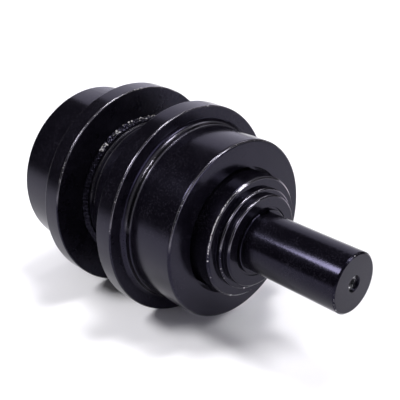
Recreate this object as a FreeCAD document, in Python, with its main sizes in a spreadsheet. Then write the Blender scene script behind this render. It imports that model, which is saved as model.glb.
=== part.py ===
import FreeCAD, Part
import math
import os
import Sketcher

# Cantilevered track roller of a small tracked machine, in millimetres.
# The shaft lies along Y with the middle of the roller at the origin, +Z up, +Y to the left.
# It sticks out of the right-hand end only; a cover closes the left-hand end.
# Along the axis every size is a distance from the middle plane, on the piece's own side of it.

SIZES = {
    # shaft
    "shaft_radius": 17.5,
    "shaft_half": 149.7,
    "shaft_chamfer": 1.0,
    "journal_radius": 20.0,
    "journal_relief": 0.5,
    "shoulder": 55.8,
    "inner_end": 47.8,
    "inner_chamfer": 1.0,
    "gallery_radius": 3.0,
    "cross_hole_radius": 2.5,
    # oil plug in the right-hand end of the shaft
    "plug_radius": 4.5,
    "plug_chamfer": 0.4,
    "plug_length": 8.0,
    "plug_recess": 1.8,
    "socket_across": 5.0,
    "socket_depth": 4.5,
    # roller shell: two halves, each with a tread and a guide flange
    "tread_radius": 54.5,
    "tread_edge": 1.6,
    "shell_face": 67.8,
    "flange_radius": 65.3,
    "flange_outside": 31.0,
    "flange_inside": 18.7,
    "flange_edge": 0.8,
    "root_radius": 3.0,
    "root_rise": 0.7,
    "root_end": 36.3,
    "root_edge": 0.5,
    "hub_radius": 44.0,
    "hub_fillet": 3.0,
    "cavity_radius": 28.0,
    "cavity_end": 24.6,
    "register_radius": 33.0,
    "register_depth": 4.0,
    "relief_near": 10.5,
    "relief_far": 13.5,
    "relief_depth": 0.7,
    # weld where the hub of the right-hand half meets the flange of the left-hand half
    "weld_root": 2.8,
    "weld_rise": 2.8,
    "weld_toe": 3.5,
    "weld_round": 1.2,
    # thrust plate and its countersunk screws on the shaft's inner end
    "plate_radius": 26.0,
    "plate_thick": 6.0,
    "plate_edge": 1.0,
    "screw_circle": 11.0,
    "screw_radius": 3.0,
    "screw_clearance": 0.1,
    "shank_gap": 0.02,
    "screw_head": 3.0,
    "screw_length": 16.0,
    "screw_hole_depth": 12.0,
    "screw_socket": 2.3,
    "screw_socket_depth": 1.8,
    "screw_sink": 0.05,
    # end cover, its O-ring and its snap ring, in the left-hand half
    "left_bush_end": 44.6,
    "chamber_radius": 29.0,
    "cover_floor": 55.5,
    "cover_radius": 34.0,
    "cover_gap": 0.02,
    "cover_thick": 6.0,
    "cover_dish_radius": 25.0,
    "cover_dish_depth": 1.8,
    "cover_boss_radius": 9.0,
    "cover_edge": 0.8,
    "cover_ring_depth": 1.5,
    "cover_ring_width": 2.2,
    "cover_ring_inner": 31.2,
    # bushes
    "bush_outer": 23.5,
    "bush_gap": 0.04,
    "bush_flange": 26.3,
    "bush_flange_width": 3.0,
    # face seals, each side of the plane where the two iron rings run together
    "seal_plane": 62.6,
    "seal_inner": 27.0,
    "seal_outer": 32.8,
    "seal_band": 29.6,
    "seal_bevel": 0.4,
    "seal_film": 0.025,
    "seal_head": 2.6,
    "ramp_start": 3.0,
    "ramp_end": 9.0,
    "ramp_top": 30.4,
    "ramp_drop": 1.0,
    "seal_space": 4.0,
    "pocket_end": 10.0,
    "pocket_mouth": 1.0,
    "toric_radius": 1.94,
    # end collars
    "recess_radius": 38.6,
    "collar_radius": 36.5,
    "collar_bore_gap": 0.02,
    "skirt_start": 1.4,
    "rim_face": 79.7,
    "rim_chamfer": 1.3,
    "step_radius": 30.4,
    "step_face": 82.8,
    "step_edge": 0.8,
    "nose_radius": 27.5,
    "nose_face": 86.5,
    "nose_edge": 1.0,
    "nose_recess": 20.8,
    "ring_seat": 85.7,
    # O-rings
    "o_ring_station": 66.0,
    "o_ring_section": 1.04,
    "o_ring_groove_half": 1.4,
    "o_ring_groove_depth": 2.1,
    # snap rings
    "snap_groove_depth": 1.0,
    "snap_groove_width": 2.2,
    "snap_slack": 0.05,
    "snap_outer": 19.5,
    "snap_inner_gap": 0.05,
    "snap_edge": 0.5,
    "snap_opening": 24.0,
    # lock pin across the collar
    "pin_radius": 2.0,
    "pin_offset": 18.5,
    "pin_station": 76.2,
    "pin_half": 30.0,
    "pin_clearance": 0.02,
    "pin_chamfer": 0.4,
}

PIN_TURN = 35.0  # degrees that the shaft and its collar are turned, so the pin lies low at the back
SCREWS = 3
FULL_TURN = 360.0
ROUND_MATCH = 1e-4  # how close an edge has to be to a size to count as that edge

doc = FreeCAD.newDocument("track_roller")
sheet = doc.addObject("Spreadsheet::Sheet", "sizes")
for row, (name, value) in enumerate(SIZES.items(), start=1):
    sheet.set(f"A{row}", name.replace("_", " "))
    sheet.set(f"B{row}", str(value))
    sheet.setAlias(f"B{row}", name)
doc.recompute()


class Size:
    """A length worked out from the sheet: its value now, and the formula that keeps it up to date."""

    def __init__(self, value, formula):
        self.value = value
        self.formula = formula

    def __add__(self, other):
        return Size(self.value + other.value, f"{self.formula} + {other.formula}")

    def __sub__(self, other):
        return Size(self.value - other.value, f"{self.formula} - ({other.formula})")

    def __mul__(self, factor):
        return Size(self.value * factor, f"({self.formula}) * {factor}")

    def __truediv__(self, other):
        return Size(self.value / other.value, f"({self.formula}) / ({other.formula})")

    def __neg__(self):
        return self * -1


def size(name):
    return Size(SIZES[name], f"sizes.{name}")


ZERO = Size(0.0, "0")
LEFT = FreeCAD.Rotation()
RIGHT = FreeCAD.Rotation(FreeCAD.Vector(1, 0, 0), 180)
PINNED = FreeCAD.Rotation(FreeCAD.Vector(0, 1, 0), PIN_TURN)
SCREWED = PINNED * FreeCAD.Rotation(FreeCAD.Vector(0, 1, 0), 180)
SIDES = {"left": LEFT, "right": RIGHT}


def placed(rotation, station=0.0):
    """Where a piece goes: turned first, then moved along the shaft from the middle plane."""
    return FreeCAD.Placement(FreeCAD.Vector(0, station, 0), rotation)


# ---- sketches and features ----

def new_body(label):
    body = doc.addObject("PartDesign::Body", label)
    body.Label = label
    return body


def new_sketch(body, name, plane):
    sketch = body.newObject("Sketcher::SketchObject", name)
    origin_plane = [item for item in body.Origin.OriginFeatures if item.Role == plane][0]
    sketch.AttachmentSupport = (origin_plane, [""])
    sketch.MapMode = "FlatFace"
    return sketch


def hold(sketch, line, across, up):
    """Fix the start of a line at its two sizes from the sketch's origin."""
    for kind, length in (("DistanceX", across), ("DistanceY", up)):
        if length.formula == ZERO.formula:
            axis = -2 if kind == "DistanceX" else -1
            sketch.addConstraint(Sketcher.Constraint("PointOnObject", line, 1, axis))
        else:
            index = sketch.addConstraint(Sketcher.Constraint(kind, -1, 1, line, 1, length.value))
            sketch.setExpression(f"Constraints[{index}]", length.formula)


def outline(body, name, points, plane="YZ_Plane"):
    """A closed outline of straight lines through points of (distance along, distance out)."""
    sketch = new_sketch(body, name, plane)
    corners = [FreeCAD.Vector(across.value, up.value, 0) for across, up in points]
    for index, corner in enumerate(corners):
        following = corners[(index + 1) % len(corners)]
        sketch.addGeometry(Part.LineSegment(corner, following), False)
    for index in range(len(corners)):
        following = (index + 1) % len(corners)
        sketch.addConstraint(Sketcher.Constraint("Coincident", index, 2, following, 1))
    for index, (across, up) in enumerate(points):
        hold(sketch, index, across, up)
    return sketch


def disc(body, name, across, up, radius, plane):
    """A circle whose centre is held at two sizes from the sketch's origin."""
    sketch = new_sketch(body, name, plane)
    centre = FreeCAD.Vector(across.value, up.value, 0)
    sketch.addGeometry(Part.Circle(centre, FreeCAD.Vector(0, 0, 1), radius.value), False)
    index = sketch.addConstraint(Sketcher.Constraint("Radius", 0, radius.value))
    sketch.setExpression(f"Constraints[{index}]", radius.formula)
    for kind, axis, length in (("DistanceX", -2, across), ("DistanceY", -1, up)):
        if length.formula == ZERO.formula:
            sketch.addConstraint(Sketcher.Constraint("PointOnObject", 0, 3, axis))
        else:
            index = sketch.addConstraint(Sketcher.Constraint(kind, -1, 1, 0, 3, length.value))
            sketch.setExpression(f"Constraints[{index}]", length.formula)
    return sketch


def revolve(body, name, points, kind="Revolution"):
    """Turn an outline in the plane of the shaft's axis and Z once round the axis."""
    sketch = outline(body, name + "_outline", points)
    feature = body.newObject("PartDesign::" + kind, name)
    feature.Profile = sketch
    feature.ReferenceAxis = (sketch, ["H_Axis"])
    feature.Angle = FULL_TURN
    doc.recompute()
    return feature


def cut_through(body, name, sketch):
    """Cut a sketch right through the body, both ways from the sketch's plane."""
    before = body.Shape.Volume
    feature = body.newObject("PartDesign::Pocket", name)
    feature.Profile = sketch
    feature.Type = "ThroughAll"
    feature.Midplane = True
    doc.recompute()
    if body.Shape.Volume >= before:
        raise RuntimeError(f"{name} cuts nothing from {body.Label}")
    return feature


def groove_round(body, name, points):
    """Cut an outline turned once round the shaft's axis."""
    before = body.Shape.Volume
    revolve(body, name, points, "Groove")
    if body.Shape.Volume >= before:
        raise RuntimeError(f"{name} cuts nothing from {body.Label}")


def ring_of(body, name, feature):
    """Repeat a hole evenly round the shaft's axis, once for each screw."""
    before = body.Shape.Volume
    pattern = body.newObject("PartDesign::PolarPattern", name)
    pattern.Originals = [feature]
    pattern.Axis = ([item for item in body.Origin.OriginFeatures if item.Role == "Y_Axis"][0], [""])
    pattern.Angle = FULL_TURN
    pattern.Occurrences = SCREWS
    body.Tip = pattern
    doc.recompute()
    if body.Shape.Volume >= before:
        raise RuntimeError(f"{name} cuts nothing from {body.Label}")


def round_edges(feature, station, radius):
    """Names of a feature's circular edges of one radius at one distance along the shaft."""
    names = []
    for name, edge in named_edges(feature):
        if not isinstance(edge.Curve, Part.Circle):
            continue
        off_radius = abs(edge.Curve.Radius - radius.value)
        off_station = abs(edge.Curve.Center.y - station.value)
        if off_radius < ROUND_MATCH and off_station < ROUND_MATCH:
            names.append(name)
    if not names:
        raise RuntimeError(f"{feature.Name} has no edge at {station.value}, {radius.value}")
    return names


def ease(body, name, kind, amount, places):
    """Fillet or chamfer the round edges at each (distance along, radius) of the body's last feature."""
    base = body.Tip
    names = []
    for station, radius in places:
        names += round_edges(base, station, radius)
    feature = body.newObject("PartDesign::" + kind, name)
    feature.Base = (base, names)
    feature.setExpression("Radius" if kind == "Fillet" else "Size", amount.formula)
    doc.recompute()
    return feature


def torus(label, ring, section, station):
    """A rubber ring: a torus about the shaft's axis."""
    piece = doc.addObject("Part::Torus", label)
    piece.Label = label
    piece.setExpression("Radius1", ring.formula)
    piece.setExpression("Radius2", section.formula)
    piece.Placement = FreeCAD.Placement(FreeCAD.Vector(), FreeCAD.Rotation(FreeCAD.Vector(1, 0, 0), 90))
    piece.setExpression("Placement.Base.y", station.formula)
    return piece


def named_edges(feature):
    return [(f"Edge{number}", edge) for number, edge in enumerate(feature.Shape.Edges, start=1)]


# ---- roller shell ----

def seat_radius(distance):
    """Radius of a rubber ring's sloping seat at a distance from the plane of the seal faces."""
    slope = size("ramp_drop") / (size("ramp_end") - size("ramp_start"))
    fall = Size(
        (distance.value - SIZES["ramp_start"]) * slope.value,
        f"({distance.formula} - sizes.ramp_start) * {slope.formula}",
    )
    return size("ramp_top") + size("seal_space") - fall


def shell_outside():
    """Flange, tread and front face, from the groove outwards."""
    land = size("tread_radius") + size("root_rise")
    return [
        (size("flange_inside"), size("flange_radius")),
        (size("flange_outside"), size("flange_radius")),
        (size("flange_outside"), land),
        (size("root_end"), land),
        (size("root_end"), size("tread_radius")),
        (size("shell_face"), size("tread_radius")),
    ]


def cavity_mouth():
    """The bush bore's inner end, where it opens into the oil cavity."""
    return [(size("cavity_end"), size("bush_outer")), (size("cavity_end"), size("cavity_radius"))]


def sealed_end():
    """Collar recess, seal pocket and bush bore of the right-hand half, from the end face inwards."""
    recess_floor = size("seal_plane") - size("pocket_mouth")
    pocket_floor = size("seal_plane") - size("pocket_end")
    return [
        (size("shell_face"), size("recess_radius")),
        (recess_floor, size("recess_radius")),
        (recess_floor, seat_radius(size("pocket_mouth"))),
        (pocket_floor, seat_radius(size("pocket_end"))),
        (pocket_floor, size("bush_outer")),
    ]


def covered_end():
    """Cover seat with its snap-ring groove, plate chamber and bush bore of the left-hand half."""
    groove_near = size("cover_floor") + size("cover_thick")
    groove_far = groove_near + size("cover_ring_width")
    groove_radius = size("cover_radius") + size("cover_ring_depth")
    return [
        (size("shell_face"), size("cover_radius")),
        (groove_far, size("cover_radius")),
        (groove_far, groove_radius),
        (groove_near, groove_radius),
        (groove_near, size("cover_radius")),
        (size("cover_floor"), size("cover_radius")),
        (size("cover_floor"), size("chamber_radius")),
        (size("left_bush_end"), size("chamber_radius")),
        (size("left_bush_end"), size("bush_outer")),
    ]


def ease_shell(body):
    """Rounded flange rim, tread root, land and tread corner."""
    flange, tread = size("flange_radius"), size("tread_radius")
    rims = [(size("flange_inside"), flange), (size("flange_outside"), flange)]
    ease(body, "flange_edges", "Fillet", size("flange_edge"), rims)
    land = tread + size("root_rise")
    ease(body, "tread_root", "Fillet", size("root_radius"), [(size("flange_outside"), land)])
    ease(body, "land_edge", "Fillet", size("root_edge"), [(size("root_end"), land)])
    ease(body, "tread_corner", "Fillet", size("tread_edge"), [(size("shell_face"), tread)])


def make_shell_left():
    """The half without a hub: a counterbore in its flange takes the other half's register."""
    body = new_body("roller_shell_left")
    register = size("flange_inside") + size("register_depth")
    joint = [
        (register, size("cavity_radius")),
        (register, size("register_radius")),
        (size("flange_inside"), size("register_radius")),
    ]
    revolve(body, "shell", shell_outside() + covered_end() + cavity_mouth() + joint)
    ease_shell(body)
    ease(body, "cover_mouth", "Chamfer", size("cover_edge"), [(size("shell_face"), size("cover_radius"))])
    return body


def make_shell_right():
    """The half with the hub, which reaches across the groove to the other half's flange."""
    body = new_body("roller_shell_right")
    joint_face = -size("flange_inside")
    hub, relief = size("hub_radius"), size("hub_radius") - size("relief_depth")
    hub_side = [
        (joint_face - size("register_depth"), size("cavity_radius")),
        (joint_face - size("register_depth"), size("register_radius")),
        (joint_face, size("register_radius")),
        (joint_face, hub - size("weld_root")),
        (joint_face + size("weld_root"), hub),
        (-size("relief_far"), hub),
        (-size("relief_far"), relief),
        (-size("relief_near"), relief),
        (-size("relief_near"), hub),
        (size("flange_inside"), hub),
    ]
    revolve(body, "shell", shell_outside() + sealed_end() + cavity_mouth() + hub_side)
    ease(body, "hub_root", "Fillet", size("hub_fillet"), [(size("flange_inside"), hub)])
    ease_shell(body)
    body.Placement = placed(RIGHT)
    return body


def make_weld():
    """One run of weld in the corner of the hub and the left-hand flange."""
    body = new_body("weld_bead")
    face, hub = size("flange_inside"), size("hub_radius")
    shoulder = (face - size("weld_toe") + size("weld_round"), hub + size("weld_rise") - size("weld_round"))
    points = [
        (face, hub - size("weld_root")),
        (face, hub + size("weld_rise")),
        shoulder,
        (face - size("weld_toe"), hub),
        (face - size("weld_root"), hub),
    ]
    revolve(body, "bead", points)
    ease(body, "bead_crown", "Fillet", size("weld_round"), [shoulder])
    return body


# ---- bushes and the face seal ----

def make_bush(side, floor):
    """A flanged bearing bush, pressed into the shell as far as a floor; its flange takes the side load."""
    body = new_body("bush_" + side)
    bore = size("journal_radius") + size("bush_gap")
    points = [
        (size("cavity_end"), bore),
        (size("cavity_end"), size("bush_outer")),
        (floor, size("bush_outer")),
        (floor, size("bush_flange")),
        (floor + size("bush_flange_width"), size("bush_flange")),
        (floor + size("bush_flange_width"), bore),
    ]
    revolve(body, "bush", points)
    body.Placement = placed(SIDES[side])
    return body


def make_seal_ring(label, rotation):
    """Half of the face seal: an iron ring with a lapped band, drawn from its face along +Y."""
    body = new_body(label)
    points = [
        (size("seal_bevel"), size("seal_inner")),
        (size("seal_film"), size("seal_band")),
        (size("seal_film"), size("seal_outer")),
        (size("seal_head"), size("seal_outer")),
        (size("ramp_start"), size("ramp_top")),
        (size("ramp_end"), size("ramp_top") - size("ramp_drop")),
        (size("ramp_end"), size("seal_inner")),
    ]
    revolve(body, "ring", points)
    body.Placement = placed(rotation, -SIZES["seal_plane"])
    return body


def make_face_seal():
    """Two iron rings and the rubber rings behind them: one pair turns, the other stands still."""
    half_ramp = (size("ramp_start") + size("ramp_end")) * 0.5
    toric_ring = size("ramp_top") - size("ramp_drop") * 0.5 + size("seal_space") * 0.5
    return [
        make_seal_ring("seal_ring_fixed", RIGHT),
        make_seal_ring("seal_ring_running", LEFT),
        torus("toric_fixed", toric_ring, size("toric_radius"), -size("seal_plane") - half_ramp),
        torus("toric_running", toric_ring, size("toric_radius"), half_ramp - size("seal_plane")),
    ]


# ---- the collar and what holds it ----

def make_collar():
    """The fixed cover round the shaft: it carries the standing half of the seal and steps down to a nose."""
    body = new_body("collar")
    bore = size("shaft_radius") + size("collar_bore_gap")
    pocket_floor = size("seal_plane") + size("pocket_end")
    skirt = size("seal_plane") + size("skirt_start")
    points = [
        (size("shoulder"), bore),
        (size("shoulder"), size("bush_flange")),
        (pocket_floor, size("bush_flange")),
        (pocket_floor, seat_radius(size("pocket_end"))),
        (skirt, seat_radius(size("skirt_start"))),
        (skirt, size("collar_radius")),
        (size("rim_face"), size("collar_radius")),
        (size("rim_face"), size("step_radius")),
        (size("step_face"), size("step_radius")),
        (size("step_face"), size("nose_radius")),
        (size("nose_face"), size("nose_radius")),
        (size("nose_face"), size("nose_recess")),
        (size("ring_seat"), size("nose_recess")),
        (size("ring_seat"), bore),
    ]
    revolve(body, "collar", points)
    ease(body, "rim", "Chamfer", size("rim_chamfer"), [(size("rim_face"), size("collar_radius"))])
    ease(body, "step_round", "Fillet", size("step_edge"), [(size("step_face"), size("step_radius"))])
    ease(body, "nose_round", "Fillet", size("nose_edge"), [(size("nose_face"), size("nose_radius"))])

    near = size("o_ring_station") - size("o_ring_groove_half")
    far = size("o_ring_station") + size("o_ring_groove_half")
    inner = size("shaft_radius") - size("collar_bore_gap")
    deep = size("shaft_radius") + size("o_ring_groove_depth")
    groove_round(body, "o_ring_groove", [(near, inner), (far, inner), (far, deep), (near, deep)])

    hole = size("pin_radius") + size("pin_clearance")
    pin_hole = disc(body, "pin_hole_outline", size("pin_offset"), size("pin_station"), hole, "XY_Plane")
    cut_through(body, "pin_hole", pin_hole)
    body.Placement = placed(PINNED * RIGHT)
    return body


def make_snap_ring(label, near, far, inner, outer, rotation):
    """An open spring ring between two stations, its opening at the bottom."""
    body = new_body(label)
    ring = revolve(body, "ring", [(near, inner), (far, inner), (far, outer), (near, outer)])
    ring.Midplane = True
    ring.setExpression("Angle", f"{FULL_TURN} - sizes.snap_opening")
    doc.recompute()
    ease(body, "ring_edge", "Fillet", size("snap_edge"), [(far, outer)])
    body.Placement = placed(rotation)
    return body


def make_collar_snap_ring():
    """The ring in the shaft's groove, against the floor of the collar's nose recess."""
    near = size("ring_seat") + size("snap_slack")
    far = size("ring_seat") + size("snap_groove_width") - size("snap_slack")
    inner = size("shaft_radius") - size("snap_groove_depth") + size("snap_inner_gap")
    return make_snap_ring("collar_snap_ring", near, far, inner, size("snap_outer"), RIGHT)


def make_collar_pin():
    """A straight pin across the collar that bears in a notch of the shaft, so the collar can't turn."""
    body = new_body("collar_pin")
    offset, station = size("pin_offset"), size("pin_station")
    circle = disc(body, "pin_outline", offset, station, size("pin_radius"), "XY_Plane")
    pin = body.newObject("PartDesign::Pad", "pin")
    pin.Profile = circle
    pin.Midplane = True
    pin.setExpression("Length", (size("pin_half") * 2).formula)
    doc.recompute()
    ends = [name for name, edge in named_edges(pin) if isinstance(edge.Curve, Part.Circle)]
    chamfer = body.newObject("PartDesign::Chamfer", "pin_ends")
    chamfer.Base = (pin, ends)
    chamfer.setExpression("Size", "sizes.pin_chamfer")
    body.Placement = placed(PINNED * RIGHT)
    return body


# ---- end cover ----

def make_cover():
    """The dished disc that closes the left-hand end, with an O-ring groove in its rim."""
    body = new_body("end_cover")
    rim = size("cover_radius") - size("cover_gap")
    inside = size("cover_floor")
    outside = inside + size("cover_thick")
    dish = outside - size("cover_dish_depth")
    seat = size("cover_radius")
    points = [
        (inside, ZERO),
        (inside, rim),
        (outside, rim),
        (outside, size("cover_dish_radius")),
        (dish, size("cover_dish_radius")),
        (dish, size("cover_boss_radius")),
        (outside, size("cover_boss_radius")),
        (outside, ZERO),
    ]
    revolve(body, "cover", points)
    raised = [(outside, size("cover_dish_radius")), (outside, size("cover_boss_radius"))]
    ease(body, "cover_edges", "Fillet", size("cover_edge"), raised)
    middle = inside + size("cover_thick") * 0.5
    near, far = middle - size("o_ring_groove_half"), middle + size("o_ring_groove_half")
    deep = seat - size("o_ring_groove_depth")
    groove_round(body, "o_ring_groove", [(near, deep), (far, deep), (far, seat), (near, seat)])
    return body


def make_cover_snap_ring():
    """The ring in the shell's groove that keeps the cover in."""
    near = size("cover_floor") + size("cover_thick") + size("snap_slack")
    far = size("cover_floor") + size("cover_thick") + size("cover_ring_width") - size("snap_slack")
    outer = size("cover_radius") + size("cover_ring_depth") - size("snap_inner_gap")
    return make_snap_ring("cover_snap_ring", near, far, size("cover_ring_inner"), outer, LEFT)


# ---- thrust plate and its screws ----

def make_thrust_plate():
    """The disc screwed to the shaft's inner end, which keeps the shaft in the roller."""
    body = new_body("thrust_plate")
    near = size("inner_end")
    far = near + size("plate_thick")
    rim = size("plate_radius")
    revolve(body, "plate", [(near, ZERO), (near, rim), (far, rim), (far, ZERO)])
    hole = size("screw_radius") + size("screw_clearance")
    outlines = disc(body, "screw_hole_outline", ZERO, size("screw_circle"), hole, "XZ_Plane")
    first = cut_through(body, "screw_hole", outlines)
    ring_of(body, "screw_holes", first)
    ease(body, "countersinks", "Chamfer", size("screw_head"), [(far, hole)])
    ease(body, "plate_rim", "Chamfer", size("plate_edge"), [(far, rim)])
    body.Placement = placed(SCREWED)
    return body


def make_plate_screws():
    """Three countersunk screws with hexagon sockets, as one set."""
    top = size("inner_end") + size("plate_thick") - size("screw_sink")
    along = FreeCAD.Rotation(FreeCAD.Vector(1, 0, 0), 90)
    screws = []
    for index in range(SCREWS):
        turn = FreeCAD.Rotation(FreeCAD.Vector(0, 1, 0), index * FULL_TURN / SCREWS)
        spot = turn.multVec(FreeCAD.Vector(0, top.value, SIZES["screw_circle"]))
        head = doc.addObject("Part::Cone", f"screw_head_{index}")
        head.setExpression("Radius1", (size("screw_radius") + size("screw_head")).formula)
        head.setExpression("Radius2", "sizes.screw_radius")
        head.setExpression("Height", "sizes.screw_head")
        shank = doc.addObject("Part::Cylinder", f"screw_shank_{index}")
        shank.setExpression("Radius", (size("screw_radius") - size("shank_gap")).formula)
        shank.setExpression("Height", "sizes.screw_length")
        socket = doc.addObject("Part::Prism", f"screw_socket_{index}")
        socket.Polygon = 6
        socket.setExpression("Circumradius", "sizes.screw_socket")
        socket.setExpression("Height", "sizes.screw_socket_depth")
        for item in (head, shank, socket):
            item.Placement = FreeCAD.Placement(spot, along)
        solid = doc.addObject("Part::Fuse", f"screw_solid_{index}")
        solid.Base, solid.Tool = head, shank
        screw = doc.addObject("Part::Cut", f"screw_{index}")
        screw.Base, screw.Tool = solid, socket
        screws.append(screw)
    group = doc.addObject("Part::Compound", "plate_screws")
    group.Label = "plate_screws"
    group.Links = screws
    group.Placement = placed(SCREWED)
    return group


# ---- shaft and its plug ----

def plug_seat():
    """Where the plug's two ends lie along the shaft: the inner one and the outer one."""
    outer = size("shaft_half") - size("plug_recess")
    return outer - size("plug_length"), outer


def make_shaft():
    """The fixed shaft, drawn with its oil plug's end along +Y and turned over when placed."""
    body = new_body("shaft")
    relief = size("journal_radius") - size("journal_relief")
    groove = size("shaft_radius") - size("snap_groove_depth")
    groove_end = size("ring_seat") + size("snap_groove_width")
    end, across, inner_end = size("shaft_half"), size("shaft_radius"), -size("inner_end")
    points = [
        (inner_end, ZERO),
        (inner_end, size("journal_radius")),
        (-size("cavity_end"), size("journal_radius")),
        (-size("cavity_end"), relief),
        (size("cavity_end"), relief),
        (size("cavity_end"), size("journal_radius")),
        (size("shoulder"), size("journal_radius")),
        (size("shoulder"), across),
        (size("ring_seat"), across),
        (size("ring_seat"), groove),
        (groove_end, groove),
        (groove_end, across),
        (end, across),
        (end, ZERO),
    ]
    revolve(body, "turned_shaft", points)
    ease(body, "outer_chamfer", "Chamfer", size("shaft_chamfer"), [(end, across)])
    ease(body, "inner_chamfer", "Chamfer", size("inner_chamfer"), [(inner_end, size("journal_radius"))])

    seat, _ = plug_seat()
    gallery = [
        (ZERO, ZERO),
        (ZERO, size("gallery_radius")),
        (seat, size("gallery_radius")),
        (seat, size("plug_radius")),
        (end, size("plug_radius")),
        (end, ZERO),
    ]
    groove_round(body, "oil_gallery", gallery)
    ease(body, "plug_mouth", "Chamfer", size("plug_chamfer"), [(end, size("plug_radius"))])
    cross = disc(body, "cross_hole_outline", ZERO, ZERO, size("cross_hole_radius"), "XY_Plane")
    cut_through(body, "cross_hole", cross)
    notch = size("pin_radius") + size("pin_clearance")
    circle = disc(body, "pin_notch_outline", size("pin_offset"), size("pin_station"), notch, "XY_Plane")
    cut_through(body, "pin_notch", circle)

    out = size("screw_circle")
    outline_hole = disc(body, "screw_hole_outline", ZERO, out, size("screw_radius"), "XZ_Plane")
    outline_hole.setExpression("AttachmentOffset.Base.z", size("inner_end").formula)
    before = body.Shape.Volume
    tapped = body.newObject("PartDesign::Pocket", "screw_hole")
    tapped.Profile = outline_hole
    tapped.setExpression("Length", "sizes.screw_hole_depth")
    doc.recompute()
    if body.Shape.Volume >= before:
        raise RuntimeError("the screw hole cuts nothing")
    ring_of(body, "screw_holes", tapped)
    body.Placement = placed(PINNED * RIGHT)
    return body


def make_plug():
    """The oil plug, with a hexagon socket, drawn like the shaft and turned over with it."""
    body = new_body("oil_plug")
    inner, outer = plug_seat()
    points = [(inner, ZERO), (inner, size("plug_radius")), (outer, size("plug_radius")), (outer, ZERO)]
    revolve(body, "plug", points)
    flat = size("socket_across") * 0.5
    corner = size("socket_across") * (1 / math.sqrt(3))
    upper = [(corner, ZERO), (corner * 0.5, flat), (-corner * 0.5, flat)]
    lower = [(-across, -up if up is not ZERO else ZERO) for across, up in upper]
    hexagon = outline(body, "socket_outline", upper + lower, "XZ_Plane")
    hexagon.setExpression("AttachmentOffset.Base.z", (-outer).formula)
    before = body.Shape.Volume
    socket = body.newObject("PartDesign::Pocket", "socket")
    socket.Profile = hexagon
    socket.Reversed = True
    socket.setExpression("Length", "sizes.socket_depth")
    doc.recompute()
    if body.Shape.Volume >= before:
        raise RuntimeError("the plug's socket cuts nothing")
    body.Placement = placed(PINNED * RIGHT)
    return body


# ---- the whole roller ----

def make_pieces():
    """Every piece in its place: what stands still first, then what turns."""
    cover_middle = size("cover_floor") + size("cover_thick") * 0.5
    section = size("o_ring_section")
    return [
        make_shaft(),
        make_plug(),
        make_collar(),
        torus("collar_o_ring", size("shaft_radius") + section, section, -size("o_ring_station")),
        make_collar_snap_ring(),
        make_collar_pin(),
        make_thrust_plate(),
        make_plate_screws(),
        *make_face_seal(),
        make_shell_left(),
        make_shell_right(),
        make_weld(),
        make_bush("left", size("left_bush_end")),
        make_bush("right", size("seal_plane") - size("pocket_end")),
        make_cover(),
        torus("cover_o_ring", size("cover_radius") - section, section, cover_middle),
        make_cover_snap_ring(),
    ]


def check(pieces):
    """Stop before anything is written if a feature has failed or a piece isn't sound."""
    for item in doc.Objects:
        if "Invalid" in item.State or "Error" in item.State:
            raise RuntimeError(f"{item.Label} failed: {item.State}")
    for piece in pieces:
        shape = piece.Shape
        solids = SCREWS if piece.Label == "plate_screws" else 1
        if shape.isNull() or not shape.isValid() or len(shape.Solids) != solids:
            raise RuntimeError(f"{piece.Label} is not sound")


parts = make_pieces()
doc.recompute()
check(parts)
os.makedirs("parts", exist_ok=True)
for part in parts:
    part.Shape.exportStep(f"parts/{part.Label}.step")
    print(part.Label, round(part.Shape.Volume), "mm3", part.Shape.BoundBox)
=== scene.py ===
import math

import bpy
from mathutils import Matrix, Vector, noise


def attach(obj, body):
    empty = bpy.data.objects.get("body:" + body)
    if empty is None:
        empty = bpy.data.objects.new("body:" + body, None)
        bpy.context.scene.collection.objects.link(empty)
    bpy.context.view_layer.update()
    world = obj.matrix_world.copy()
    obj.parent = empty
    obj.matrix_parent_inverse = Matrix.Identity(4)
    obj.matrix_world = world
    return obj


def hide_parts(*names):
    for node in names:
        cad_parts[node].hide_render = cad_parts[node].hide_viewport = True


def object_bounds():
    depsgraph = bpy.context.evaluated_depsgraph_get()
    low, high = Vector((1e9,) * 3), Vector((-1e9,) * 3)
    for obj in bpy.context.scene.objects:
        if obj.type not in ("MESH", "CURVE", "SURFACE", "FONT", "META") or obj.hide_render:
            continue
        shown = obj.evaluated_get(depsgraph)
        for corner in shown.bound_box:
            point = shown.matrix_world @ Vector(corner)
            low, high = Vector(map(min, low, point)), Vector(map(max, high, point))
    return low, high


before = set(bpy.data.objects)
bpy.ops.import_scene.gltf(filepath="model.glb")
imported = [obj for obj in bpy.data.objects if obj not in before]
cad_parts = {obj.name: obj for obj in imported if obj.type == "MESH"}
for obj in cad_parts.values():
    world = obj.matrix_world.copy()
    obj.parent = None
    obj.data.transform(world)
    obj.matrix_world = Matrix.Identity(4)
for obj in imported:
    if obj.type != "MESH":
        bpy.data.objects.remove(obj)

# Looks of the cantilevered track roller, in the CAD part's own frame: the shaft lies along Y with its free
# end towards -Y, and the roller turns about Y. The scene is in metres. Radii, stations along the shaft and
# the sizes of marks are in millimetres, as in the CAD part, and MM turns them into metres.

cad_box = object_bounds()
MM = 0.001


def metres(lengths):
    """Lengths in millimetres, as a list in metres."""
    return [length * MM for length in lengths]


# ---------------------------------------------------------------- sizes of the part, in millimetres

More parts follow.
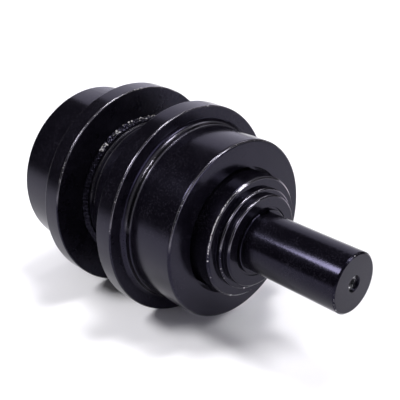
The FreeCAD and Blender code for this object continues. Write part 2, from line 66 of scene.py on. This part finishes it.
low_corner, high_corner = cad_box
FLANGE_RADIUS = high_corner.z / MM
FLANGE_OUTSIDE = -31.0  # the near flange's side, towards the near tread
FLANGE_INSIDE = 18.7  # the far flange's side, in the groove
TREAD_RADIUS = 54.5
SHELL_FACE = -high_corner.y / MM  # the near end of the shell mirrors its far end
HUB_RADIUS = 44.0
RELIEF_SIDES = (10.5, 13.5)  # the shallow relief turned round the hub
COLLAR_RADIUS = 36.5
RIM_FACE = -79.7
STEP_RADIUS = 30.4
STEP_FACE = -82.8
NOSE_RADIUS = 27.5
NOSE_FACE = -86.5
SHAFT_RADIUS = 17.5
SHAFT_END = low_corner.y / MM

# ---------------------------------------------------------------- camera, in metres (its lens in mm)

AZIMUTH = math.radians(-44.7)
ELEVATION = math.radians(26.1)
DISTANCE = 0.5076  # from the camera to the plane through the roller's middle
AIM_RIGHT = 0.0258  # the view's centre lies this far right of the roller's middle
AIM_DOWN = 0.0036  # and this far below it
LENS = 72.0
SENSOR = 36.0
CLIP_START = 0.01


def add_camera():
    """A level camera at the reference angle, looking between the roller and the shaft's free end."""
    right = Vector((math.cos(AZIMUTH), math.sin(AZIMUTH), 0))
    back = Vector(
        (
            math.sin(AZIMUTH) * math.cos(ELEVATION),
            -math.cos(AZIMUTH) * math.cos(ELEVATION),
            math.sin(ELEVATION),
        )
    )
    up = back.cross(right)
    data = bpy.data.cameras.new("camera")
    data.lens = LENS
    data.sensor_width = SENSOR
    data.clip_start = CLIP_START
    camera = bpy.data.objects.new("camera", data)
    camera.location = back * DISTANCE + right * AIM_RIGHT - up * AIM_DOWN
    camera.rotation_euler = Matrix((right, up, back)).transposed().to_euler()
    bpy.context.scene.collection.objects.link(camera)
    bpy.context.scene.camera = camera


# ---------------------------------------------------------------- studio

FLOOR_HALF = 4.0
FLOOR_GREY = (0.9, 0.89, 0.92, 1)
FLOOR_ROUGHNESS = 0.9
SURROUND_COLOUR = (1, 1, 1, 1)
SURROUND_STRENGTH = 0.05

WHITE = (1, 1, 1)
COOL = (0.96, 0.93, 1.12)
# name, place, point it faces, width, height, radiance, spread in degrees, colour
LIGHTS = [
    ("ceiling", (0.12, -0.2, 1.25), (0.05, -0.1, 0), 0.32, 0.26, 37.0, 180, WHITE),
    ("window", (1.25, 1.2, 0.72), (0, 0, 0.1), 1.6, 1.45, 1.12, 180, COOL),
    ("side_box", (-0.44, 0.19, 0.567), (0, -0.12, 0), 0.2, 0.21, 36.0, 180, WHITE),
    ("front_panel", (0.1, -1.3, 0.25), (0, 0, 0), 0.8, 0.5, 3.4, 180, COOL),
    ("camera_fill", (-0.9, -1.2, 1.5), (0.5, 0.6, -0.06), 1.3, 1.0, 0.9, 180, WHITE),
    ("front_wash", (0.5, -0.95, 0.95), (0.14, -0.26, -0.06), 0.35, 0.35, 3.5, 70, WHITE),
    ("back_wash", (1.4, 0.3, 1.3), (0.7, 1.25, -0.06), 0.9, 0.9, 4.8, 100, WHITE),
]


def add_light(name, place, target, width, height, radiance, spread, colour):
    """A rectangular soft light at a place, facing a target, as bright as its radiance says."""
    data = bpy.data.lights.new(name, "AREA")
    data.shape = "RECTANGLE"
    data.size = width
    data.size_y = height
    data.energy = radiance * width * height * math.pi
    data.spread = math.radians(spread)
    data.color = colour
    light = bpy.data.objects.new(name, data)
    light.location = place
    light.rotation_euler = (Vector(place) - Vector(target)).to_track_quat("Z", "Y").to_euler()
    bpy.context.scene.collection.objects.link(light)


def add_floor():
    """A plain pale floor under the flanges."""
    corners = [(-1, -1), (1, -1), (1, 1), (-1, 1)]
    points = [(x * FLOOR_HALF, y * FLOOR_HALF, low_corner.z) for x, y in corners]
    mesh = bpy.data.meshes.new("floor")
    mesh.from_pydata(points, [], [(0, 1, 2, 3)])
    floor = bpy.data.objects.new("floor", mesh)
    bpy.context.scene.collection.objects.link(floor)
    material = bpy.data.materials.new("floor_paper")
    material.use_nodes = True
    shader = material.node_tree.nodes["Principled BSDF"]
    shader.inputs["Base Color"].default_value = FLOOR_GREY
    shader.inputs["Roughness"].default_value = FLOOR_ROUGHNESS
    mesh.materials.append(material)


def add_studio():
    """The floor, a dim surround and the soft lights, shown without any film curve."""
    add_floor()
    world = bpy.data.worlds.new("studio")
    world.use_nodes = True
    background = world.node_tree.nodes["Background"]
    background.inputs["Color"].default_value = SURROUND_COLOUR
    background.inputs["Strength"].default_value = SURROUND_STRENGTH
    bpy.context.scene.world = world
    for light in LIGHTS:
        add_light(*light)
    view = bpy.context.scene.view_settings
    view.view_transform = "Standard"
    view.look = "None"


# ---------------------------------------------------------------- material graphs

PLAIN_NOISE = 0.55  # a noise's own roughness, where nothing else is said
EDGE_CORE = 0.35  # the part of an edge's reach that is wholly covered
POINT_CORE = 0.5  # the part of a point's reach that is wholly covered
SIDE_FADE = 0.12  # how far inside its limit a side is wholly covered, as a cosine
RING_DRIFT = (20, 1.0)  # size in millimetres and detail of the noise that lathe rings wander with
COLOUR_LOW = 6  # the Mix node's sockets for colours, which share their names with others
COLOUR_HIGH = 7
COLOUR_RESULT = 2


class Graph:
    """One material, its nodes added in plain steps. Its places are object coordinates, in metres."""

    def __init__(self, name):
        self.material = bpy.data.materials.new(name)
        self.material.use_nodes = True
        self.tree = self.material.node_tree
        self.shader = self.tree.nodes["Principled BSDF"]
        self.place = self.add("ShaderNodeTexCoord").outputs["Object"]
        parts = self.add("ShaderNodeSeparateXYZ", Vector=self.place)
        self.x, self.y, self.z = parts.outputs
        self.radius = self.length(self.x, self.z)

    def add(self, kind, **inputs):
        """A node with some of its inputs set or linked."""
        node = self.tree.nodes.new(kind)
        for name, value in inputs.items():
            self.feed(node.inputs[name], value)
        return node

    def feed(self, socket, value):
        """Links another node's output to a socket, or sets the socket to a plain value."""
        if isinstance(value, bpy.types.NodeSocket):
            self.tree.links.new(value, socket)
        else:
            socket.default_value = value

    def math(self, operation, *values):
        """One step of arithmetic."""
        node = self.tree.nodes.new("ShaderNodeMath")
        node.operation = operation
        for socket, value in zip(node.inputs, values):
            self.feed(socket, value)
        return node.outputs[0]

    def length(self, *parts):
        """The length of a vector with these two components."""
        squares = [self.math("MULTIPLY", part, part) for part in parts]
        return self.math("SQRT", self.math("ADD", *squares))

    def step(self, value, low, high):
        """0 below low, 1 above high, smooth between; low may be above high."""
        node = self.tree.nodes.new("ShaderNodeMapRange")
        node.interpolation_type = "SMOOTHSTEP"
        self.feed(node.inputs["Value"], value)
        if low < high:
            limits = (low, high, 0.0, 1.0)
        else:
            limits = (high, low, 1.0, 0.0)
        for name, limit in zip(("From Min", "From Max", "To Min", "To Max"), limits):
            node.inputs[name].default_value = limit
        return node.outputs["Result"]

    def blend(self, factor, low, high):
        """A number between two, by a factor."""
        node = self.tree.nodes.new("ShaderNodeMapRange")
        self.feed(node.inputs["Value"], factor)
        self.feed(node.inputs["To Min"], low)
        self.feed(node.inputs["To Max"], high)
        return node.outputs["Result"]

    def tint(self, factor, low, high):
        """A colour between two, by a factor."""
        node = self.tree.nodes.new("ShaderNodeMix")
        node.data_type = "RGBA"
        self.feed(node.inputs["Factor"], factor)
        self.feed(node.inputs[COLOUR_LOW], low)
        self.feed(node.inputs[COLOUR_HIGH], high)
        return node.outputs[COLOUR_RESULT]

    def noise(self, size, detail, roughness=PLAIN_NOISE, place=None):
        """Cloudy noise whose lumps are about this many millimetres across."""
        node = self.add("ShaderNodeTexNoise", Scale=1 / (size * MM), Detail=detail, Roughness=roughness)
        self.feed(node.inputs["Vector"], self.place if place is None else place)
        return node.outputs[0]

    def turned(self, wander):
        """Places that hardly change round the axis, so noise on them makes lathe rings."""
        drift = self.math("MULTIPLY", self.noise(*RING_DRIFT), wander)
        along = self.math("ADD", self.y, drift)
        node = self.add("ShaderNodeCombineXYZ", X=self.radius, Y=along, Z=0.0)
        return node.outputs[0]

    def bump(self, height, depth, under=None):
        """Relief of a real depth, on top of the relief under it."""
        node = self.add("ShaderNodeBump", Height=height, Distance=depth, Strength=1.0)
        if under is not None:
            self.feed(node.inputs["Normal"], under)
        return node.outputs["Normal"]

    def near_edge(self, radius, station, reach):
        """1 on a round edge at a radius and a station along the shaft, 0 farther off than its reach."""
        across = self.math("SUBTRACT", self.radius, radius * MM)
        along = self.math("SUBTRACT", self.y, station * MM)
        away = self.length(across, along)
        return self.step(away, reach * MM, EDGE_CORE * reach * MM)

    def near_point(self, point, reach):
        """1 at a point, 0 farther off than its reach."""
        node = self.tree.nodes.new("ShaderNodeVectorMath")
        node.operation = "DISTANCE"
        self.feed(node.inputs[0], self.place)
        self.feed(node.inputs[1], metres(point))
        return self.step(node.outputs["Value"], reach * MM, POINT_CORE * reach * MM)

    def towards(self, angle, spread):
        """1 on the side of the axis that faces an angle, 0 beyond its spread, both in degrees.

        Angle 0 is the -X side and 90 is the top.
        """
        turn = math.radians(angle)
        aim_x = self.math("MULTIPLY", self.x, -math.cos(turn))
        aim_z = self.math("MULTIPLY", self.z, math.sin(turn))
        cosine = self.math("DIVIDE", self.math("ADD", aim_x, aim_z), self.radius)
        limit = math.cos(math.radians(spread))
        return self.step(cosine, limit, min(1.0, limit + SIDE_FADE))

    def finish(self, colour, rough, normal):
        """The material, once its shader has this colour, roughness and relief."""
        self.feed(self.shader.inputs["Base Color"], colour)
        self.feed(self.shader.inputs["Roughness"], rough)
        self.feed(self.shader.inputs["Normal"], normal)
        return self.material


# ---------------------------------------------------------------- black paint

PAINT_BLACK = (0.0017, 0.0014, 0.0027, 1)
PAINT_DUSTY = (0.0098, 0.0088, 0.013, 1)
CHIP_GREY = (0.55, 0.53, 0.54, 1)
# bright metal laid along the upper side of edges: a painted highlight that strengthens the edge highlights
HIGHLIGHT_METAL = (0.12, 0.115, 0.135, 1)
PAINT_TINT = (0.98, 0.92, 1.5, 1)
PAINT_IOR = 1.26
SHAFT_IOR = 1.23
WELD_IOR = 1.2

# noises in the paint: size of the lumps in millimetres, detail, and sometimes roughness
PEEL = (1.6, 2.0)
PITS = (2.4, 5.0, 0.65)
CLOUDS = (14, 4.0)
FINE_DUST = (0.8, 3.0)
CHIP_PATCHES = (7, 2.0)
LATHE_RINGS = (0.35, 2.0, PLAIN_NOISE)
RING_WANDER = 0.02
SPECKLE = (4.0, 0.7)  # detail and roughness of the chips, which come in several sizes

# depths of the relief, in millimetres
EDGE_ROUND = 0.35  # how far the paint rounds over a sharp edge
PEEL_DEPTH = 0.02
RING_DEPTH = 0.004
PIT_DEPTH = 0.16
CHIP_DEPTH = 0.08

TURNED_ROUGHNESS = (0.11, 0.24)  # over turned metal, from where the clouds are thin to thick
FORGED_ROUGHNESS = (0.2, 0.36)  # the same over forged skin
CHIP_ROUGHNESS = 0.45
DUST_CLOUDS = 0.3  # how much the dust follows the clouds
DUST_RANGE = (0.62, 0.9)  # where its noise gives no dust, then full dust
HIGHLIGHT_SIDE = (80, 75)  # the upper side of the edges, where the lamps' highlights fall and the painted highlight goes

CHIP_SIZE = 0.9
WELD_CHIP_SIZE = 1.9
SPECKLE_WEIGHT = 1.5  # of the chips' own noise
PATCH_WEIGHT = 0.5  # of the broad patches that they come in
CHIP_LIMIT = 1.3  # what the chips' noise has to reach on an edge with a share of 0
CHIP_EASE = 0.6  # how much less it has to reach with a share of 1
CHIP_BORDER = 0.06  # how soft a chip's border is
SPOT_RANGE = (0.3, 0.38)  # where the noise at a single spot gives paint, then bare metal

# where the forged skin of the shell ends: a radius or station without it, then one with it
SKIN_BESIDE_TREAD = (36.2, 35.4)
SKIN_UNDER_RIM = (64.9, 64.4)
SKIN_IN_GROOVE = (19.0, 18.8)
SKIN_OVER_ROOT = (57.4, 58.6)


def shell_skin(graph):
    """1 on the as-forged flange sides and hub, 0 on the turned treads, rims and end faces."""
    from_middle = graph.math("ABSOLUTE", graph.y)
    beside_tread = graph.step(from_middle, *metres(SKIN_BESIDE_TREAD))
    under_rim = graph.step(graph.radius, *metres(SKIN_UNDER_RIM))
    in_groove = graph.step(from_middle, *metres(SKIN_IN_GROOVE))
    over_root = graph.step(graph.radius, *metres(SKIN_OVER_ROOT))
    forged = graph.math("MAXIMUM", in_groove, over_root)
    return graph.math("MULTIPLY", beside_tread, graph.math("MULTIPLY", under_rim, forged))


def paint_relief(graph, skin):
    """Rounded edges, orange peel, and lathe rings or, on forged skin, pits that show through the paint."""
    rounded = graph.add("ShaderNodeBevel", Radius=EDGE_ROUND * MM).outputs["Normal"]
    rings = graph.noise(*LATHE_RINGS, graph.turned(RING_WANDER))
    ring_depth = graph.blend(skin, RING_DEPTH * MM, 0.0)
    pit_depth = graph.blend(skin, 0.0, PIT_DEPTH * MM)
    normal = graph.bump(graph.noise(*PEEL), PEEL_DEPTH * MM, rounded)
    normal = graph.bump(rings, ring_depth, normal)
    return graph.bump(graph.noise(*PITS), pit_depth, normal)


def painted_highlight(graph, highlight_edges):
    """Painted highlight: how far the listed edges are turned to bright metal, on their upper side where
    the lamps' highlights fall.
    """
    lit_side = graph.towards(*HIGHLIGHT_SIDE)
    painted_shine = 0.0
    for radius, station, reach in highlight_edges:
        band = graph.math("MULTIPLY", graph.near_edge(radius, station, reach), lit_side)
        painted_shine = graph.math("MAXIMUM", painted_shine, band)
    return painted_shine


def chipped(graph, edges, spots, grain):
    """1 where the paint has chipped off, in patches along edges and at single spots."""
    speckle = graph.noise(grain, *SPECKLE)
    fine = graph.math("MULTIPLY", speckle, SPECKLE_WEIGHT)
    broad = graph.math("MULTIPLY", graph.noise(*CHIP_PATCHES), PATCH_WEIGHT)
    texture = graph.math("ADD", fine, broad)
    chips = 0.0
    for radius, station, reach, share, angle, spread in edges:
        band = graph.near_edge(radius, station, reach)
        side = graph.math("MULTIPLY", band, graph.towards(angle, spread))
        limit = CHIP_LIMIT - CHIP_EASE * share
        bare = graph.step(graph.math("MULTIPLY", side, texture), limit, limit + CHIP_BORDER)
        chips = graph.math("MAXIMUM", chips, bare)
    for point, reach in spots:
        spot = graph.near_point(point, reach)
        bare = graph.step(graph.math("MULTIPLY", spot, speckle), *SPOT_RANGE)
        chips = graph.math("MAXIMUM", chips, bare)
    return chips


def paint(name, forged=None, edges=(), spots=(), highlight_edges=(), ior=PAINT_IOR, grain=CHIP_SIZE):
    """Gloss black enamel over turned metal, or over forged skin where told, with chips and with edges made
    bright metal on their upper side as a painted highlight.

    edges holds (radius, station, reach, share, angle, spread): a round edge, how much of it is chipped,
    and the side of it that the chips are on. spots holds (point, reach) of single chips. grain is the
    size of a chip in millimetres. highlight_edges holds (radius, station, reach) of edges made bright
    metal on their upper side, a painted highlight.
    """
    graph = Graph(name)
    graph.shader.inputs["Specular Tint"].default_value = PAINT_TINT
    graph.shader.inputs["IOR"].default_value = ior
    skin = forged(graph) if forged else 0.0
    normal = paint_relief(graph, skin)

    clouds = graph.noise(*CLOUDS)
    drifts = graph.math("MULTIPLY", clouds, DUST_CLOUDS)
    dust = graph.step(graph.math("ADD", drifts, graph.noise(*FINE_DUST)), *DUST_RANGE)
    colour = graph.tint(dust, PAINT_BLACK, PAINT_DUSTY)
    turned_rough = graph.blend(clouds, *TURNED_ROUGHNESS)
    forged_rough = graph.blend(clouds, *FORGED_ROUGHNESS)
    rough = graph.blend(skin, turned_rough, forged_rough)

    # painted highlight: the upper side of the listed edges is turned to bright metal
    if highlight_edges:
        painted_shine = painted_highlight(graph, highlight_edges)
        colour = graph.tint(painted_shine, colour, HIGHLIGHT_METAL)
        graph.feed(graph.shader.inputs["Metallic"], painted_shine)
    if edges or spots:
        chips = chipped(graph, edges, spots, grain)
        colour = graph.tint(chips, colour, CHIP_GREY)
        rough = graph.blend(chips, rough, CHIP_ROUGHNESS)
        normal = graph.bump(graph.math("SUBTRACT", 1.0, chips), CHIP_DEPTH * MM, normal)
    return graph.finish(colour, rough, normal)


# ---------------------------------------------------------------- chips, and edges with a painted highlight

def on_ring(radius, station, angle):
    """A point on a circle round the shaft; the angle runs in degrees from -X towards +Z."""
    turn = math.radians(angle)
    return (-radius * math.cos(turn), station, radius * math.sin(turn))


# The small differences from the sizes above are for the rounding of the corners, which chips follow.

# chipped edges: radius, station, reach, share, angle, spread
SHELL_CHIPS = [
    (FLANGE_RADIUS - 0.1, FLANGE_INSIDE + 0.1, 1.2, 0.3, 70, 60),
    (FLANGE_RADIUS - 0.1, FLANGE_OUTSIDE + 0.1, 1.2, 0.25, 60, 60),
    (TREAD_RADIUS - 0.3, SHELL_FACE + 0.4, 1.2, 0.15, 70, 60),
]
COLLAR_CHIPS = [
    (COLLAR_RADIUS - 0.2, RIM_FACE + 0.4, 1.15, 0.72, 40, 48),
    (COLLAR_RADIUS - 0.4, RIM_FACE + 0.5, 1.2, 0.25, -60, 60),
    (STEP_RADIUS - 0.2, STEP_FACE + 0.2, 1.0, 0.2, -60, 80),
]
SHAFT_CHIPS = [
    (SHAFT_RADIUS - 0.5, SHAFT_END + 0.4, 0.9, 0.3, -60, 70),
    (SHAFT_RADIUS - 0.4, SHAFT_END + 0.3, 0.7, 0.3, 105, 60),
]
BEAD_CHIPS = [(HUB_RADIUS + 2.6, FLANGE_INSIDE - 2.3, 3.6, 0.32, 78, 46)]

# single chips: point, reach
COLLAR_SPOTS = [
    (on_ring(COLLAR_RADIUS - 0.3, RIM_FACE + 0.2, 77), 1.5),
    (on_ring(COLLAR_RADIUS - 0.2, RIM_FACE + 0.5, -2), 0.9),
    (on_ring(COLLAR_RADIUS - 0.3, RIM_FACE + 0.1, -61), 1.4),
    (on_ring(STEP_RADIUS - 0.2, STEP_FACE + 0.2, -71), 1.1),
]

# edges given a painted highlight of bright metal on their upper side: radius, station, reach
SHELL_HIGHLIGHT_EDGES = [
    (TREAD_RADIUS + 1.5, FLANGE_OUTSIDE - 3.4, 2.8),
    (FLANGE_RADIUS, FLANGE_OUTSIDE, 1.1),
    (FLANGE_RADIUS, FLANGE_INSIDE, 1.1),
    (TREAD_RADIUS - 0.2, SHELL_FACE + 0.2, 1.0),
]
SHELL_HIGHLIGHT_EDGES += [(HUB_RADIUS, side, 0.9) for side in RELIEF_SIDES]
COLLAR_HIGHLIGHT_EDGES = [
    (COLLAR_RADIUS - 0.5, RIM_FACE, 1.3),
    (STEP_RADIUS - 0.2, STEP_FACE + 0.1, 1.1),
    (NOSE_RADIUS - 0.2, NOSE_FACE + 0.1, 1.1),
]


# ---------------------------------------------------------------- other finishes

METAL_RINGS = (0.3, 3.0, PLAIN_NOISE)
METAL_WANDER = 0.01
METAL_STAIN = (6, 4.0)
RING_SHARE = 0.4  # how much of the tone comes from the rings; the stain gives the rest
TONE_RANGE = (0.35, 0.65)  # where their noise gives the darkest colour, then the lightest
METAL_DEPTH = 0.006  # of the rings, in millimetres
STAIN_ROUGHNESS = 0.18  # how much rougher the metal is where it is stained

# darkest colour, lightest colour, roughness
IRON = ((0.16, 0.16, 0.165, 1), (0.34, 0.34, 0.35, 1), 0.2)
BRONZE = ((0.5, 0.33, 0.16, 1), (0.72, 0.52, 0.28, 1), 0.22)
STEEL = ((0.3, 0.3, 0.31, 1), (0.55, 0.55, 0.56, 1), 0.18)

RUBBER_GRAIN = (0.25, 3.0)
RUBBER_BLOOM = (5, 4.0)
BLOOM_RANGE = (0.4, 0.75)  # where its noise gives plain rubber, then full bloom
RUBBER_BLACK = (0.012, 0.012, 0.012, 1)
RUBBER_GREY = (0.035, 0.035, 0.036, 1)
RUBBER_ROUGHNESS = (0.5, 0.72)
RUBBER_DEPTH = 0.008  # of its grain, in millimetres


def turned_metal(name, dark, light, rough):
    """Bare turned metal: fine lathe rings and cloudy staining."""
    graph = Graph(name)
    graph.shader.inputs["Metallic"].default_value = 1.0
    rings = graph.noise(*METAL_RINGS, graph.turned(METAL_WANDER))
    stain = graph.noise(*METAL_STAIN)
    from_rings = graph.math("MULTIPLY", rings, RING_SHARE)
    from_stain = graph.math("MULTIPLY", stain, 1 - RING_SHARE)
    tone = graph.step(graph.math("ADD", from_rings, from_stain), *TONE_RANGE)
    colour = graph.tint(tone, dark, light)
    roughness = graph.blend(stain, rough, rough + STAIN_ROUGHNESS)
    return graph.finish(colour, roughness, graph.bump(rings, METAL_DEPTH * MM))


def rubber(name):
    """Moulded black rubber with a faint bloom."""
    graph = Graph(name)
    bloom = graph.noise(*RUBBER_BLOOM)
    colour = graph.tint(graph.step(bloom, *BLOOM_RANGE), RUBBER_BLACK, RUBBER_GREY)
    normal = graph.bump(graph.noise(*RUBBER_GRAIN), RUBBER_DEPTH * MM)
    return graph.finish(colour, graph.blend(bloom, *RUBBER_ROUGHNESS), normal)


# ---------------------------------------------------------------- weld bead

BEAD_ALONG = 3.6  # how far the bead reaches from the flange along the hub
BEAD_RISE = 2.9  # how far it reaches from the hub up the flange
BEAD_SINK = 0.25  # how deep its hidden edges lie in the metal
BEAD_FLATTENING = 0.18  # how much its middle falls short of a round section, as a share
BEAD_BULGE = 0.1  # and how much it swells again, as a share
ACROSS = 20  # steps across the bead
RIPPLES = 118
RIPPLE_STEPS = 12  # steps along each ripple
RIPPLE_HEIGHT = 0.6  # in millimetres, as are the lumps' and the grit's
RIPPLE_FALL = 0.6  # below 1, a ripple swells at once and drops off at its end
RIPPLE_BOW = 0.9  # how far a ripple's ends are shifted along the run from its middle, in ripples
RIPPLE_JITTER = 0.5  # how far ripples wander from even spacing, in ripples
LUMP_HEIGHT = 0.5
GRIT_HEIGHT = 0.3

# how fine each noise round the ring is, and which patch of it is used or how it changes across the bead
WANDER = (5.0, (3, 7, 1))
SWELL = (17.0, (9, 2, 4))
LUMP_FINENESS = 28.0
LUMP_CHANGE = 3
GRIT_FINENESS = 64.0
GRIT_CHANGE = 7
GRIT_PATCH = 5
WANDER_SHARE = 0.1  # how much the reach along the hub varies
SWELL_SHARE = 0.12  # how much the rise varies


def uneven(ring, fineness, patch):
    """Smooth noise, about -1 to 1, at a place on the ring."""
    return noise.noise(ring * fineness + Vector(patch))


def bead_section(turn):
    """Points round the bead at one angle, as (station, radius) in millimetres: crown, then hidden root."""
    ring = Vector((math.cos(turn), 0, math.sin(turn)))
    wander = uneven(ring, *WANDER)
    swell = uneven(ring, *SWELL)
    along = BEAD_ALONG * (1 + WANDER_SHARE * wander)
    rise = BEAD_RISE * (1 + SWELL_SHARE * swell)
    ripple_count = turn * RIPPLES / (2 * math.pi)
    points = []
    for index in range(ACROSS + 1):
        share = index / ACROSS
        lean = 0.5 * math.pi * share
        crown = math.sin(math.pi * share)
        bow = (2 * share - 1) ** 2
        phase = (ripple_count + RIPPLE_BOW * bow + RIPPLE_JITTER * wander) % 1.0
        ripple = RIPPLE_HEIGHT * crown * (phase**RIPPLE_FALL - 0.5)
        lumps = LUMP_HEIGHT * crown * uneven(ring, LUMP_FINENESS, (share * LUMP_CHANGE, 0, 0))
        grit = GRIT_HEIGHT * crown * uneven(ring, GRIT_FINENESS, (share * GRIT_CHANGE, GRIT_PATCH, 0))
        swollen = 1 + BEAD_BULGE * crown + (ripple + lumps + grit) / BEAD_RISE
        flattened = 1 - BEAD_FLATTENING * (1 - abs(math.cos(2 * lean)))
        station = FLANGE_INSIDE - along * math.sin(lean) * flattened * swollen
        radius = HUB_RADIUS + rise * math.cos(lean) * flattened * swollen
        points.append((station, radius))
    _, top_radius = points[0]
    end_station, _ = points[-1]
    root_radius = HUB_RADIUS - BEAD_SINK
    root_station = FLANGE_INSIDE + BEAD_SINK
    hidden = [(end_station, root_radius), (root_station, root_radius), (root_station, top_radius)]
    return points + hidden


def make_bead():
    """The weld run as a closed ring of rippled metal, in place of the plain CAD bead."""
    rows = RIPPLES * RIPPLE_STEPS
    points, faces = [], []
    for row in range(rows):
        turn = 2 * math.pi * row / rows
        for station, radius in bead_section(turn):
            points.append(metres((math.cos(turn) * radius, station, math.sin(turn) * radius)))
    width = len(points) // rows
    for row in range(rows):
        here = row * width
        following = (row + 1) % rows * width
        for index in range(width):
            beside = (index + 1) % width
            faces.append((here + index, here + beside, following + beside, following + index))
    mesh = bpy.data.meshes.new("rippled_weld")
    mesh.from_pydata(points, [], faces)
    mesh.validate()
    mesh.polygons.foreach_set("use_smooth", [index % width < ACROSS for index in range(rows * width)])
    bead = bpy.data.objects.new("rippled_weld", mesh)
    bpy.context.scene.collection.objects.link(bead)
    mesh.materials.append(paint("weld_enamel", edges=BEAD_CHIPS, ior=WELD_IOR, grain=WELD_CHIP_SIZE))
    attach(bead, "roller")
    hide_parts("weld_bead")


# ---------------------------------------------------------------- putting it together

def dress_frame():
    """Each CAD piece gets its own finish. The CAD weld bead is dressed too, though it isn't shown."""
    shell = paint("shell_enamel", forged=shell_skin, edges=SHELL_CHIPS, highlight_edges=SHELL_HIGHLIGHT_EDGES)
    collar = paint("collar_enamel", edges=COLLAR_CHIPS, spots=COLLAR_SPOTS, highlight_edges=COLLAR_HIGHLIGHT_EDGES)
    shaft = paint("shaft_enamel", edges=SHAFT_CHIPS, ior=SHAFT_IOR)
    plain = paint("trim_enamel")
    iron = turned_metal("lapped_iron", *IRON)
    bronze = turned_metal("turned_bronze", *BRONZE)
    steel = turned_metal("ground_steel", *STEEL)
    moulded = rubber("moulded_rubber")
    finishes = {
        "shaft": shaft,
        "oil_plug": steel,
        "collar": collar,
        "collar_snap_ring": plain,
        "end_cover": plain,
        "cover_snap_ring": plain,
        "roller_shell_left": shell,
        "roller_shell_right": shell,
        "weld_bead": plain,
        "collar_pin": steel,
        "thrust_plate": steel,
        "plate_screws": steel,
        "bush_left": bronze,
        "bush_right": bronze,
        "seal_ring_fixed": iron,
        "seal_ring_running": iron,
        "collar_o_ring": moulded,
        "cover_o_ring": moulded,
        "toric_fixed": moulded,
        "toric_running": moulded,
    }
    for name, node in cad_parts.items():
        node.data.materials.clear()
        node.data.materials.append(finishes[name])


dress_frame()
make_bead()
add_camera()
add_studio()
